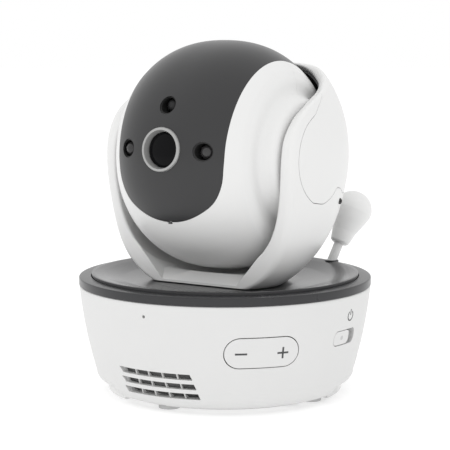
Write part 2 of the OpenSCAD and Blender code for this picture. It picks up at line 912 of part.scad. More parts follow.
module tilt_motor_shaft() {
    color(steel) head_tilt() at_tilt_motor() rotate([0, 90, 0]) translate([0, 0, 17.4])
        cylinder(r = 1, h = 7.4);
}

base_housing();
bottom_cover();
rubber_feet();
base_screws();
top_ring();
top_plate();
pan_bush();
speaker_frame();
speaker_cone();
speaker_magnet();
speaker_mesh();
main_board();
board_chips();
dc_jack();
microphone();
pan_motor();
button_board();
volume_switches();
rocker_bracket();
power_switch();
pair_switch();
sensor_grommet();
sensor_stalk();
sensor_bulb();
thermistor();
volume_rocker();
power_slider();
pair_button();
pan_pinion();
pan_motor_shaft();
yoke_front();
yoke_back_cover();
hood_liner();
pan_spindle();
pan_gear();
spindle_clip();
yoke_screws();
pivot_stub_right();
pivot_stub_left();
tilt_gear();
head_front_shell();
head_rear_shell();
face_shield();
lens_ring();
lens_barrel();
lens_glass();
lamp_board();
infrared_lamps();
light_sensor();
image_board();
head_chassis();
tilt_motor();
head_screws();
tilt_pinion();
tilt_motor_shaft();
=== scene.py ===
# Looks of a baby monitor camera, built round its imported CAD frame.
# Shapes are worked out in millimetres in the CAD frame: -Y is the front, +X the power slider's side, +Z up.
# Angles round the base start at the front and turn towards +X.
import json
import math

import bmesh
import bpy
import numpy as np
from mathutils import Matrix, Vector
from mathutils.bvhtree import BVHTree


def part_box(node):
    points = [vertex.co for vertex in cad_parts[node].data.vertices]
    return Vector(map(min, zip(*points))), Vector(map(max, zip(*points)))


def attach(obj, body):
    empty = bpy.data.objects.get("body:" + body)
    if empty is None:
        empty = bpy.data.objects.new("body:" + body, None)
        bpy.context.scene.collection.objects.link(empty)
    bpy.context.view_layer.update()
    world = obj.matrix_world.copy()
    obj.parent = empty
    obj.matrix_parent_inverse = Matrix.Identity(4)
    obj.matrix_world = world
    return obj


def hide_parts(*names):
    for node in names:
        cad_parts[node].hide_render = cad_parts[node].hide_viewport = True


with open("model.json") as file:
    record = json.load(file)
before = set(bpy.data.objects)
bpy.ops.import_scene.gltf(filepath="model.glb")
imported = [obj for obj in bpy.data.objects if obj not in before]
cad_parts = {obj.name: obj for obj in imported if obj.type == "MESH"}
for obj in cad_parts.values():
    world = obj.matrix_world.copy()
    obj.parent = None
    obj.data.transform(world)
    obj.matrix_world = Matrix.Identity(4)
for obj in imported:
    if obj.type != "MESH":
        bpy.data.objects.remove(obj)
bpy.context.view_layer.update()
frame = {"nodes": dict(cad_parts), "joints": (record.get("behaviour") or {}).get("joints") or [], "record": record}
scene = bpy.context.scene

MM = 0.001
FAR = 80.0  # well outside the object, sideways

# ---------------------------------------------------------------- sizes, from the frame where it has them


def low_high(node):
    """Lowest and highest corner of a CAD node, in millimetres."""
    low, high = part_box(node)
    return Vector(low) / MM, Vector(high) / MM


ring_high = low_high("top_ring")[1]
plate_low, plate_high = low_high("top_plate")
joints = {j["name"]: j for j in frame["joints"]}

AXIS_Z = joints["tilt"]["pos_m"][2] / MM
REST_TILT = math.radians(6.3)
RING_R = ring_high.x
RING_TOP = ring_high.z
RING_IN, RING_LIP = 45.9, 47.4
PLATE_R = plate_high.x
PLATE_TOP = plate_high.z
PLATE_DISH = plate_low.z + 2.0
BUSH_R = 13.2
YOKE_Z = low_high("yoke_front")[0].z
WALL_TOP = low_high("base_housing")[1].z
WALL_T = 2.2
LEDGE_Z = 5.0
LEDGE_R = 42.0
WALL_LOW = 8.0
PLINTH_R, PLINTH_Z, PLINTH_END = 40.1, 1.2, 104.2
APRON = (-23.0, 90.0)  # the angles between which the wall runs further down

# ---------------------------------------------------------------- shapes: (vertices, faces) in millimetres


def moved(shape, matrix):
    verts, faces = shape
    m = np.array(matrix)
    return np.asarray(verts, float) @ m[:3, :3].T + m[:3, 3], faces


def joined(*shapes):
    verts, faces, start = [], [], 0
    for v, f in shapes:
        verts.append(np.asarray(v, float))
        faces += [[i + start for i in face] for face in f]
        start += len(v)
    return np.concatenate(verts), faces


def loop_grid(rings, close_rings=False):
    """A skin over rings of equal length, each a closed loop. Open ends are capped."""
    n, count = len(rings[0]), len(rings)
    verts = np.concatenate([np.asarray(r, float) for r in rings])
    faces = []
    for i in range(count if close_rings else count - 1):
        a, b = i * n, ((i + 1) % count) * n
        for j in range(n):
            k = (j + 1) % n
            faces.append([a + j, a + k, b + k, b + j])
    if not close_rings:
        faces.append(list(range(n))[::-1])
        faces.append([(count - 1) * n + j for j in range(n)])
    return verts, faces


def lathe(profile, steps=160):
    """Body of revolution about Z. The profile runs from axis to axis, or is a closed loop off the axis."""
    profile = [(max(r, 0.0), z) for r, z in profile]
    closed = profile[0][0] >= 1e-6 or profile[-1][0] >= 1e-6
    turn = [2 * math.pi * k / steps for k in range(steps)]
    verts, rings, faces = [], [], []
    for r, z in profile:
        if r < 1e-6:
            rings.append([len(verts)] * steps)
            verts.append((0, 0, z))
        else:
            rings.append([len(verts) + k for k in range(steps)])
            verts += [(r * math.cos(t), r * math.sin(t), z) for t in turn]
    pairs = list(zip(rings, rings[1:]))
    if closed:
        pairs.append((rings[-1], rings[0]))
    for a, b in pairs:
        for k in range(steps):
            m = (k + 1) % steps
            face = []
            for i in (a[k], a[m], b[m], b[k]):
                if i not in face:
                    face.append(i)
            if len(face) > 2:
                faces.append(face)
    return np.array(verts, float), faces


def rod(r, z0, z1, steps):
    return lathe([(0, z0), (r, z0), (r, z1), (0, z1)], steps)


def prism(outline, y0, y1):
    """An outline in X and Z, from y0 back to y1."""
    front = [(x, y0, z) for x, z in outline]
    return loop_grid([front, [(x, y1, z) for x, z in outline]])


def side_prism(outline):
    """An outline in Y and Z, across the whole width."""
    left = [(-FAR, y, z) for y, z in outline]
    return loop_grid([left, [(FAR, y, z) for y, z in outline]])


def arc(cx, cz, r, start, end, count=12):
    """Points on a round stretch, angles in degrees, both ends included."""
    return [
        (cx + r * math.cos(math.radians(t)), cz + r * math.sin(math.radians(t)))
        for t in np.linspace(start, end, count)
    ]


def soft(points, closed=True):
    """An outline with its corners rounded. A point is (x, y) or (x, y, radius)."""
    out, n = [], len(points)
    for i, p in enumerate(points):
        r = p[2] if len(p) > 2 else 0
        if r == 0 or (not closed and i in (0, n - 1)):
            out.append((p[0], p[1]))
            continue
        a, b, c = (Vector(points[k % n][:2]) for k in (i - 1, i, i + 1))
        u, v = (a - b).normalized(), (c - b).normalized()
        half = u.angle(v) / 2
        d = min(r / math.tan(half), (a - b).length * 0.49, (c - b).length * 0.49)
        rr = d * math.tan(half)
        centre = b + (u + v).normalized() * (rr / math.sin(half))
        s, e = b + u * d - centre, b + v * d - centre
        full = s.angle(e)
        steps = max(2, int(math.degrees(full) / 15) + 1)
        for k in range(steps + 1):
            t = k / steps
            k1, k2 = math.sin((1 - t) * full) / math.sin(full), math.sin(t * full) / math.sin(full)
            out.append(tuple(centre + (s * k1 + e * k2)))
    return out


def pill(w, h, cx=0.0, cz=0.0, count=20):
    r = h / 2
    right = arc(cx + w / 2 - r, cz, r, -90, 90, count)
    return right + arc(cx - w / 2 + r, cz, r, 90, 270, count)


def round_rect(w, h, r, cx=0.0, cz=0.0):
    x, z = w / 2, h / 2
    return soft([(cx + x, cz - z, r), (cx + x, cz + z, r), (cx - x, cz + z, r), (cx - x, cz - z, r)])


def bar(w, h, cx, cz):
    x, z = w / 2, h / 2
    return [(cx - x, cz - z), (cx + x, cz - z), (cx + x, cz + z), (cx - x, cz + z)]


def ease(t):
    """Smooth step from 0 to 1, for a number or an array."""
    t = np.clip(t, 0.0, 1.0)
    return t * t * (3 - 2 * t)


def path_lengths(points):
    """How far along a path each of its points lies."""
    return np.concatenate([[0], np.cumsum(np.linalg.norm(np.diff(points, axis=0), axis=1))])


def spline(points, count, power=0.5):
    """A smooth curve through the points, resampled evenly along its length."""
    p = np.asarray(points, float)
    p = np.vstack([2 * p[0] - p[1], p, 2 * p[-1] - p[-2]])
    dense = []
    for i in range(1, len(p) - 2):
        p0, p1, p2, p3 = p[i - 1 : i + 3]
        t0 = 0.0
        t1 = max(np.linalg.norm(p1 - p0), 1e-6) ** power
        t2 = t1 + max(np.linalg.norm(p2 - p1), 1e-6) ** power
        t3 = t2 + max(np.linalg.norm(p3 - p2), 1e-6) ** power
        for t in np.linspace(t1, t2, 24, endpoint=False):
            a1 = (t1 - t) / (t1 - t0) * p0 + (t - t0) / (t1 - t0) * p1
            a2 = (t2 - t) / (t2 - t1) * p1 + (t - t1) / (t2 - t1) * p2
            a3 = (t3 - t) / (t3 - t2) * p2 + (t - t2) / (t3 - t2) * p3
            b1 = (t2 - t) / (t2 - t0) * a1 + (t - t0) / (t2 - t0) * a2
            b2 = (t3 - t) / (t3 - t1) * a2 + (t - t1) / (t3 - t1) * a3
            dense.append((t2 - t) / (t2 - t1) * b1 + (t - t1) / (t2 - t1) * b2)
    dense.append(p[-2])
    dense = np.array(dense)
    along = path_lengths(dense)
    want = np.linspace(0, along[-1], count)
    return np.stack([np.interp(want, along, dense[:, k]) for k in (0, 1)], -1)


def turned(angle):
    """Turns a shape made at the front to an angle round the base, in degrees."""
    return Matrix.Rotation(math.radians(angle), 4, "Z")


ABOUT_X = Matrix.Rotation(math.radians(90), 4, "Y")
AT_AXIS = Matrix.Translation((0, 0, AXIS_Z))
HEAD = AT_AXIS @ Matrix.Rotation(-REST_TILT, 4, "X")

# ---------------------------------------------------------------- objects


def build(name, shape):
    """A Blender object from a shape, still in millimetres."""
    verts, faces = shape
    me = bpy.data.meshes.new(name)
    me.from_pydata([tuple(v) for v in verts], [], [list(f) for f in faces])
    ob = bpy.data.objects.new(name, me)
    scene.collection.objects.link(ob)
    bm = bmesh.new()
    bm.from_mesh(me)
    bmesh.ops.recalc_face_normals(bm, faces=bm.faces)
    bm.to_mesh(me)
    bm.free()
    return ob


def apply_modifiers(ob):
    bpy.context.view_layer.update()
    dg = bpy.context.evaluated_depsgraph_get()
    me = bpy.data.meshes.new_from_object(ob.evaluated_get(dg))
    old = ob.data
    ob.modifiers.clear()
    ob.data = me
    bpy.data.meshes.remove(old)
    return ob


def drop(ob):
    me = ob.data
    bpy.data.objects.remove(ob)
    bpy.data.meshes.remove(me)


def boolean(ob, tool, how="DIFFERENCE"):
    """One boolean step with another object, which is used up."""
    m = ob.modifiers.new("boolean", "BOOLEAN")
    m.object, m.operation, m.solver = tool, how, "EXACT"
    apply_modifiers(ob)
    drop(tool)
    return ob


def carve(ob, *shapes, how="DIFFERENCE"):
    """Cuts shapes out of an object one by one, or keeps or adds them."""
    for shape in shapes:
        boolean(ob, build("tool", shape), how)
    return ob


def smooth_source(shape):
    """A surface whose smooth normals a carved piece takes back."""
    ob = build("source", shape)
    me = ob.data
    normals = np.zeros(len(me.vertices) * 3)
    me.vertex_normals.foreach_get("vector", normals)
    polygons = [tuple(p.vertices) for p in me.polygons]
    tree = BVHTree.FromPolygons([v.co.copy() for v in me.vertices], polygons)
    corners = np.array([v.co for v in me.vertices])
    drop(ob)
    return tree, polygons, corners, normals.reshape(-1, 3)


def soft_normal(source, point, near=0.05):
    """The smooth normal and the face normal of a source near a point, or None twice."""
    tree, polygons, corners, normals = source
    hit, normal, index, _ = tree.find_nearest(point, near)
    if index is None:
        return None, None
    ids = list(polygons[index])
    d = np.linalg.norm(corners[ids] - np.array(hit), axis=1)
    w = 1 / (d + 1e-4) ** 2
    n = (normals[ids] * w[:, None]).sum(0)
    return Vector(n).normalized(), normal


def shade(ob, sharp, source=None):
    """Smooth shading with sharp edges by angle. Faces on the source surface take its normals."""
    me = ob.data
    me.polygons.foreach_set("use_smooth", [True] * len(me.polygons))
    me.set_sharp_from_angle(angle=math.radians(sharp))
    if source is None:
        return ob
    flat = np.zeros(len(me.loops) * 3)
    me.corner_normals.foreach_get("vector", flat)
    wanted = flat.reshape(-1, 3)
    for poly in me.polygons:
        n, face = soft_normal(source, poly.center)
        if n is None or abs(face.dot(poly.normal)) < 0.97:
            continue
        flip = -1 if n.dot(poly.normal) < 0 else 1
        for li in poly.loop_indices:
            m, _ = soft_normal(source, me.vertices[me.loops[li].vertex_index].co, 0.5)
            if m is not None:
                wanted[li] = m * flip
    me.normals_split_custom_set([tuple(v) for v in wanted])
    return ob


def bevel(ob, width):
    m = ob.modifiers.new("bevel", "BEVEL")
    m.width, m.segments, m.limit_method = width, 3, "ANGLE"
    m.angle_limit, m.use_clamp_overlap = math.radians(50), True
    return apply_modifiers(ob)


def finish_piece(ob, body, material, nodes=()):
    """Scales a piece to metres, gives it its material, ties it to its CAD body and hides the CAD nodes it takes
    the place of.
    """
    ob.data.transform(Matrix.Scale(MM, 4))
    ob.data.materials.clear()
    ob.data.materials.append(material)
    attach(ob, body)
    if nodes:
        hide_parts(*nodes)


def plain_piece(name, shape, sharp, body, material, nodes=()):
    """A piece that needs no carving."""
    finish_piece(shade(build(name, shape), sharp), body, material, nodes)


# ---------------------------------------------------------------- materials


def plastic(name, color, rough, grain, bump, spread, coat=0.0, coat_rough=0.1, spec=0.5, metal=0.0):
    """Moulded plastic or metal: a faint mottle in colour and gloss, and a fine surface grain.
    grain is the size of the grain and bump its depth in millimetres, and spread how far the mottle goes."""
    mat = bpy.data.materials.new(name)
    mat.use_nodes = True
    nodes, links = mat.node_tree.nodes, mat.node_tree.links
    shader = nodes["Principled BSDF"]
    shader.inputs["Metallic"].default_value = metal
    shader.inputs["Specular IOR Level"].default_value = spec
    shader.inputs["Coat Weight"].default_value = coat
    shader.inputs["Coat Roughness"].default_value = coat_rough
    place = nodes.new("ShaderNodeTexCoord")
    mottle = nodes.new("ShaderNodeTexNoise")
    mottle.inputs["Scale"].default_value = 90
    mottle.inputs["Detail"].default_value = 4
    links.new(place.outputs["Object"], mottle.inputs["Vector"])
    tone = nodes.new("ShaderNodeMix")
    tone.data_type = "RGBA"
    tone.inputs["A"].default_value = (*[c * (1 - spread) for c in color], 1)
    tone.inputs["B"].default_value = (*[min(1, c * (1 + spread)) for c in color], 1)
    links.new(mottle.outputs["Fac"], tone.inputs["Factor"])
    links.new(tone.outputs["Result"], shader.inputs["Base Color"])
    gloss = nodes.new("ShaderNodeMapRange")
    gloss.inputs["To Min"].default_value = rough * 0.9
    gloss.inputs["To Max"].default_value = rough * 1.1
    links.new(mottle.outputs["Fac"], gloss.inputs["Value"])
    links.new(gloss.outputs["Result"], shader.inputs["Roughness"])
    fine = nodes.new("ShaderNodeTexNoise")
    fine.inputs["Scale"].default_value = 1 / (grain * MM)
    fine.inputs["Detail"].default_value = 2
    links.new(place.outputs["Object"], fine.inputs["Vector"])
    relief = nodes.new("ShaderNodeBump")
    relief.inputs["Strength"].default_value = 0.35
    relief.inputs["Distance"].default_value = bump * MM
    links.new(fine.outputs["Fac"], relief.inputs["Height"])
    links.new(relief.outputs["Normal"], shader.inputs["Normal"])
    return mat


WHITE = plastic("white_plastic", (0.73, 0.73, 0.725), 0.36, 0.3, 0.012, 0.012)
WHITE_SATIN = plastic("white_satin", (0.665, 0.665, 0.661), 0.48, 0.22, 0.02, 0.014)
SHIELD = plastic(
    "shield_satin", (0.026, 0.026, 0.027), 0.34, 0.3, 0.006, 0.04, coat=0.1, coat_rough=0.2, spec=0.4
)
RING = plastic("dark_satin", (0.034, 0.034, 0.036), 0.28, 0.25, 0.012, 0.04, spec=0.3)
GLOSS = plastic("glossy_dark", (0.034, 0.034, 0.036), 0.17, 0.8, 0.004, 0.04, spec=0.22)
BLACK = plastic("black_plastic", (0.012, 0.012, 0.012), 0.5, 0.3, 0.02, 0.1)
# dark tone for the sheet of painted shade inside the back of the hood
PAINTED_HOOD_SHADE = plastic("painted_hood_shade_satin", (0.040, 0.040, 0.041), 0.45, 0.3, 0.02, 0.06)
PRINT = plastic("grey_print", (0.055, 0.055, 0.058), 0.6, 0.15, 0.01, 0.08)
NYLON = plastic("nylon", (0.72, 0.69, 0.60), 0.45, 0.4, 0.02, 0.03)
BOARD = plastic("board_green", (0.012, 0.10, 0.035), 0.35, 1.0, 0.02, 0.2)
STEEL = plastic("steel", (0.55, 0.56, 0.57), 0.30, 0.4, 0.01, 0.05, metal=1.0)
LENS_METAL = plastic("lens_metal", (0.38, 0.38, 0.375), 0.36, 0.25, 0.006, 0.04, metal=0.4)
RUBBER = plastic("rubber", (0.50, 0.50, 0.50), 0.75, 0.3, 0.04, 0.1)
GREY = plastic("grey_plastic", (0.5, 0.5, 0.5), 0.5, 0.3, 0.02, 0.03)
CLOTH = plastic("grille_cloth", (0.10, 0.10, 0.10), 0.85, 0.5, 0.15, 0.3)
GLASS = plastic("lens_glass", (0.001, 0.001, 0.0015), 0.12, 2.0, 0.001, 0.1, spec=0.12)
FILTER = plastic("light_filter", (0.014, 0.014, 0.015), 0.5, 0.5, 0.004, 0.05, spec=0.35)
# smoked resin, a little clear
LAMP = plastic("lamp_resin", (0.030, 0.029, 0.030), 0.16, 0.8, 0.01, 0.05)
LAMP.node_tree.nodes["Principled BSDF"].inputs["Transmission Weight"].default_value = 0.1
LAMP.node_tree.nodes["Principled BSDF"].inputs["IOR"].default_value = 1.5

SLOT_LOOK = {
    "white_shell": WHITE,
    "white_trim": WHITE_SATIN,
    "dark_satin": RING,
    "shield": SHIELD,
    "glossy_plate": GLOSS,
    "black_plastic": BLACK,
    "nylon": NYLON,
    "board": BOARD,
    "steel": STEEL,
    "lens_metal": LENS_METAL,
    "rubber": RUBBER,
    "glass": GLASS,
    "lamp": LAMP,
    "grille_cloth": CLOTH,
    "grey_button": GREY,
}

# every CAD node starts with the look of its material slot
for row in frame["record"]["subparts"]:
    node = frame["nodes"].get(row["node"])
    if node is not None:
        node.data.materials.clear()
        node.data.materials.append(SLOT_LOOK[row["material_slot"]])

# ---------------------------------------------------------------- base


WALL_R, WALL_TAPER, WALL_CURVE = 49.9, 0.09, 0.0035


def wall_r(z):
    """Outer radius of the wall, which draws in faster and faster on the way down."""
    down = WALL_TOP - z
    return WALL_R - WALL_TAPER * down - WALL_CURVE * down * down


def base_section(apron):
    """Closed section of the housing in [radius, z]. apron is 0 for the ledge and 1 for the apron."""
    upper = [(wall_r(z), z) for z in np.linspace(WALL_TOP - 0.3, WALL_LOW, 30)]
    wide, tall = wall_r(WALL_LOW) - LEDGE_R, WALL_LOW - LEDGE_Z
    ledge = [
        (LEDGE_R + wide * math.cos(t), WALL_LOW - tall * math.sin(t))
        for t in np.linspace(0.1, math.pi / 2, 12)
    ]
    ledge += [(PLINTH_R + 0.2, LEDGE_Z)] * 3 + [(PLINTH_R + 0.2, LEDGE_Z + 2)]
    low, wide, tall = 7.4, 5.2, 5.4
    down = [(wall_r(WALL_LOW - 0.3), WALL_LOW - 0.3)]
    down += [
        (wall_r(low) - wide + wide * math.cos(t), low - tall * math.sin(t))
        for t in np.linspace(0.05, math.pi / 2, 12)
    ]
    down += [(PLINTH_R - 2, low - tall), (PLINTH_R - 2, LEDGE_Z + 0.6), (PLINTH_R + 1, LEDGE_Z + 1.2)]
    skirt = [tuple(np.array(a) * (1 - apron) + np.array(b) * apron) for a, b in zip(ledge, down)]
    inner = [(wall_r(z) - WALL_T, z) for z in np.linspace(WALL_LOW + 1, WALL_TOP, 14)]
    return upper + skirt + inner + [(wall_r(WALL_TOP) - 0.3, WALL_TOP)]


def base_ring(steps=300):
    """The whole housing wall. The apron comes in over 4 degrees at each of its ends."""
    rings = []
    for k in range(steps):
        angle = 360 * k / steps - 180
        apron = ease((angle - APRON[0] + 2) / 4) * ease((APRON[1] + 2 - angle) / 4)
        t = math.radians(angle)
        rings.append([(r * math.sin(t), -r * math.cos(t), z) for r, z in base_section(apron)])
    return loop_grid(rings, close_rings=True)


def sector(r0, r1, z0, z1, start, end, lean=0.0):
    """Part of a ring between two angles. lean shifts its foot along the ring, in degrees."""
    rings = []
    for a in np.linspace(start, end, 8):
        top, foot = math.radians(a), math.radians(a + lean)
        section = [(r0, z0, foot), (r1, z0, foot), (r1, z1, top), (r0, z1, top)]
        rings.append([(r * math.sin(t), -r * math.cos(t), z) for r, z, t in section])
    return loop_grid(rings)


SLOT_Z, SLOT_PITCH, SLOT_H, SLOT_GAP, SLOT_LEAN = 13.3, 3.3, 1.95, 0.3, 0.9
SLOT_ROWS, SLOTS = 3, 5
CUT = (-60, -40)  # from outside the wall to inside it, for a cut made at the front
rock_x, rock_y, _ = joints["volume_rock"]["pos_m"]
ROCKER_ANGLE = math.degrees(math.atan2(rock_x, -rock_y))
ROCKER_Z, ROCKER_W, ROCKER_H, ROCKER_GAP = 21.7, 24.4, 9.8, 0.32
slide_axis = Vector(joints["power_slide"]["axis"])
POWER_ANGLE = math.degrees(math.atan2(slide_axis.y, slide_axis.x))
POWER_Z, POWER_TRAVEL = 23.2, 3.4
MIC_ANGLE, MIC_Z, MIC_R = 0.8, 32.6, 0.55
INLET_Z, INLET_R = 14.2, 4
STALK_ANGLE, STALK_AT, STALK_LEAN = 155, 45.5, 27


def slot_face(start, end, z):
    """The outer part of a row of slots: pointed at the left, with a round upper corner at the right.
    start and end are the row's angles, and the face reaches half a degree or so past them."""
    high, low = z + SLOT_H / 2, z - SLOT_H / 2
    rings = []
    for t in np.linspace(0, 1, 44):
        angle = start - 0.6 + (end + 1.2 - start) * t
        left = min(1, (angle - start + 0.65) / 2.0)
        right = min(1, max(0.0, (end + 0.62 - angle) / 1.5))
        foot = high - (high - low) * left
        top = low + (high - low) * (1 - (1 - right) ** 2) ** 0.5 if right < 1 else high
        top = max(top, foot + 0.05)
        a = math.radians(angle)
        section = [(wall_r(z) - 1.5, foot), (52, foot), (52, top), (wall_r(z) - 1.5, top)]
        rings.append([(r * math.sin(a), -r * math.cos(a), h) for r, h in section])
    return loop_grid(rings)


def make_base():
    ring = base_ring()
    source = smooth_source(ring)
    ob = build("base_shell", ring)
    for row in range(SLOT_ROWS):
        start, end = -15.6 + 0.5 * row, 18.6 + 1.5 * row
        z = SLOT_Z - SLOT_PITCH * row
        step = (end - start) / SLOTS
        cuts = []
        for k in range(SLOTS):
            left, right = start + k * step + SLOT_GAP, start + (k + 1) * step - SLOT_GAP
            cuts.append(sector(39, 52, z - SLOT_H / 2, z + SLOT_H / 2, left, right, SLOT_LEAN))
        carve(ob, joined(*cuts), slot_face(start, end, z))
    # openings for the rocker, power slider, microphone and power inlet
    rocker_hole = pill(ROCKER_W + 2 * ROCKER_GAP, ROCKER_H + 2 * ROCKER_GAP, 0, ROCKER_Z)
    carve(
        ob,
        moved(prism(rocker_hole, *CUT), turned(ROCKER_ANGLE)),
        moved(prism(round_rect(12.6, 5.2, 2.0, 0, POWER_Z), *CUT), turned(POWER_ANGLE)),
        moved(prism(arc(0, MIC_Z, MIC_R, 0, 345, 24), -60, -44), turned(MIC_ANGLE)),
        prism(arc(0, INLET_Z, INLET_R, 0, 354, 60), 40, 60),
    )
    shade(ob, 30, source)
    finish_piece(ob, "base", WHITE_SATIN, ["base_housing"])
    # plinth wall between the apron's end and the bottom cover
    wall = sector(PLINTH_R - 1.9, PLINTH_R, PLINTH_Z, LEDGE_Z + 1.8, APRON[1] + 1, PLINTH_END)
    plain_piece("plinth_end", wall, 30, "base", WHITE_SATIN)


make_base()


def make_ring_and_plate():
    """The dark ring, and the dished plate that the yoke turns on, each notched for the sensor."""
    notch = moved(rod(2.6, 30, 50, 40), turned(STALK_ANGLE) @ Matrix.Translation((0, -STALK_AT, 0)))
    section = soft([
        (RING_IN, WALL_TOP - 1.9), (RING_LIP, WALL_TOP - 1.9), (RING_LIP, WALL_TOP + 0.05),
        (RING_R, WALL_TOP + 0.05, 0.25), (RING_R, RING_TOP + 0.15, 0.4), (RING_IN, RING_TOP + 0.3, 0.1),
    ])
    ring = carve(build("ring", lathe(section, 256)), notch)
    shade(ring, 40)
    finish_piece(ring, "base", RING, ["top_ring"])

    top = [
        (PLATE_R, PLATE_TOP - 2.6), (PLATE_R, PLATE_TOP - 0.05, 0.2), (PLATE_R - 1.0, PLATE_TOP - 0.05, 1.2),
        (PLATE_R - 4.0, PLATE_TOP - 0.55, 4), (35, PLATE_DISH + 0.9, 8), (26, PLATE_DISH, 6),
        (BUSH_R, PLATE_DISH),
    ]
    section = soft([(BUSH_R, PLATE_DISH - 1.9), (PLATE_R, PLATE_DISH - 1.9)] + top)
    plate = carve(build("plate", lathe(section, 256)), notch)
    shade(plate, 40)
    finish_piece(plate, "base", GLOSS, ["top_plate"])


make_ring_and_plate()

# ---------------------------------------------------------------- yoke

HOOD_A, HOOD_B, HOOD_N = 39.4, 42.6, 2.4
CAVITY_A, CAVITY_B = 33.75, 40.7
BOWL_A, BOWL_D, BOWL_Z, BOWL_RISE = 39.2, 38.3, 72.0, 30.0
CORE_A, CORE_B, CORE_Y = 37.2, HOOD_B - 1.4, 8.0
SEAM_GAP = 0.2
SCREW_X, SCREW_Y, SCREW_Z = 38.6, 13.5, 66.0
RIM_MIDDLE_Z = 76
BACK_POLE = Vector((0, 1, -0.3)).normalized()
# side view of the hood's rim in [y, z]: up the front, round the corner and back over the top
RIM_LINE = spline(
    [
        (-16.6, 15), (-16.4, 38), (-16.4, 42.5), (-16.7, 50), (-17.3, 62), (-18.1, 74), (-18.1, 81),
        (-17.2, 87.3), (-14.9, 92.3), (-11, 96.6), (-5, 100), (3, 102.8), (9, 105), (13.5, 107.2),
        (17.2, 109.3), (20.8, 110.9), (24.2, 111.7), (28, 112), (45, 112.2),
    ],
    500,
)
# the same for the rim's inner edge, which sits a little lower round the top corner
RIM_INSIDE = spline(
    [
        (-16.6, 15), (-16.4, 38), (-16.5, 42.5), (-17.0, 50), (-18.0, 62), (-18.9, 74), (-18.9, 81),
        (-17.9, 86.2), (-16.1, 89.6), (-13.6, 92.2), (-10.4, 94.8), (-5.0, 97.6), (1.4, 100.3), (6.5, 101.8),
        (10.3, 103), (13.1, 104), (16.4, 105.3), (19, 107.4), (21.8, 110.2), (24.6, 111.6), (28, 112),
        (45, 112.2),
    ],
    500,
)


def squircle(p, a, b, n):
    """Size of a squared ball about the tilt axis that passes through each point, 1 on its surface."""
    along = np.abs(p[:, 0]) / a
    across = np.hypot(p[:, 1], p[:, 2] - AXIS_Z) / b
    return (along**n + across**n) ** (1 / n)


def hood_size(p):
    """The same for the outside of the yoke: a squared ball joined to a bowl about the pan axis."""
    ball = squircle(p, HOOD_A, HOOD_B, HOOD_N)
    side = np.degrees(np.arctan2(np.abs(p[:, 0]), -p[:, 1]))
    n = 2.65 - 0.5 * ease((side - 65) / 50)
    down = BOWL_Z - p[:, 2]
    deep = np.where(down > 0, down / BOWL_D, -down / BOWL_RISE)
    bowl = ((np.hypot(p[:, 0], p[:, 1]) / BOWL_A) ** n + deep**n) ** (1 / n)
    blend = 0.06
    h = np.maximum(blend - np.abs(ball - bowl), 0) / blend
    return np.minimum(ball, bowl) - h * h * blend / 4


def cavity_size(p):
    """The same for the inside, which is squarer low down than near the top."""
    return squircle(p, CAVITY_A, CAVITY_B, 3.0 - 0.5 * ease((p[:, 2] - 82) / 20))


def surface_points(point_at, size, count, far):
    """Where each of count lines leaves a surface. point_at gives the points at one distance for each line."""
    low, high = np.zeros(count), np.full(count, far)
    for _ in range(40):
        mid = (low + high) / 2
        inside = size(point_at(mid)) < 1
        low, high = np.where(inside, mid, low), np.where(inside, high, mid)
    return point_at(low)


def rim_curve(line, size, turn):
    """Where the sheet through a rim line leaves a surface, all the way round."""
    lengths = path_lengths(line)
    middle = lengths[np.argmin(np.abs(line[:, 1] - RIM_MIDDLE_Z))]

    def on_sheet(reach):
        along = middle - reach * np.cos(turn)
        y, z = (np.interp(along, lengths, line[:, k]) for k in (0, 1))
        return np.stack([reach * np.sin(turn), y, z], -1)

    return surface_points(on_sheet, size, len(turn), 75.0)


def sheet_rows(edge, size, rows, lip):
    """Rows of points over a surface, from a lip's width behind its edge to the pole at the back."""
    centre = np.array((0, 0, BOWL_Z))
    start = edge - centre
    start /= np.linalg.norm(start, axis=1)[:, None]
    pole = np.array(BACK_POLE)
    full = np.arccos(np.clip(start @ pole, -1, 1))
    first = lip / np.linalg.norm(edge - centre, axis=1)
    out = []
    for row in np.linspace(0, 0.985, rows):  # stops just short of the pole, where a cap closes the skin
        a = first + (full - first) * row
        ray = start * (np.sin(full - a) / np.sin(full))[:, None] + pole * (np.sin(a) / np.sin(full))[:, None]
        ray /= np.linalg.norm(ray, axis=1)[:, None]
        out.append(surface_points(lambda reach: centre + ray * reach[:, None], size, len(ray), 90.0))
    return out


def yoke_shape(slices=320, rows=54):
    """The whole yoke as one skin: outside, a flat lip with round corners, and inside."""
    turn = np.linspace(0, 2 * math.pi, slices, endpoint=False)
    outer, inner = rim_curve(RIM_LINE, hood_size, turn), rim_curve(RIM_INSIDE, cavity_size, turn)
    thick = np.linalg.norm(outer - inner, axis=1)
    # the lip's corners are rounder on the arms than on the web between their feet
    up = np.clip((outer[:, 2] - 40) / 12, 0, 1)
    lip_out = np.minimum(0.9 + 1.1 * up, thick * 0.5)
    lip_in = np.minimum(0.6 + 0.6 * up, thick * 0.45)
    outside = sheet_rows(outer, hood_size, rows, lip_out)
    inside = sheet_rows(inner, cavity_size, rows, lip_in)
    across = (inner - outer) / thick[:, None]
    flat = (outer + across * lip_out[:, None], inner - across * lip_in[:, None])
    k = 0.56  # makes a cubic curve close to a quarter circle
    rounds = []
    for a, corner, b in ((outside[0], outer, flat[0]), (flat[1], inner, inside[0])):
        p1, p2 = a + (corner - a) * k, b + (corner - b) * k
        for t in np.linspace(0, 1, 7):
            s = 1 - t
            rounds.append(s**3 * a + 3 * s * s * t * p1 + 3 * s * t * t * p2 + t**3 * b)
    return loop_grid(outside[:0:-1] + rounds + inside[1:])


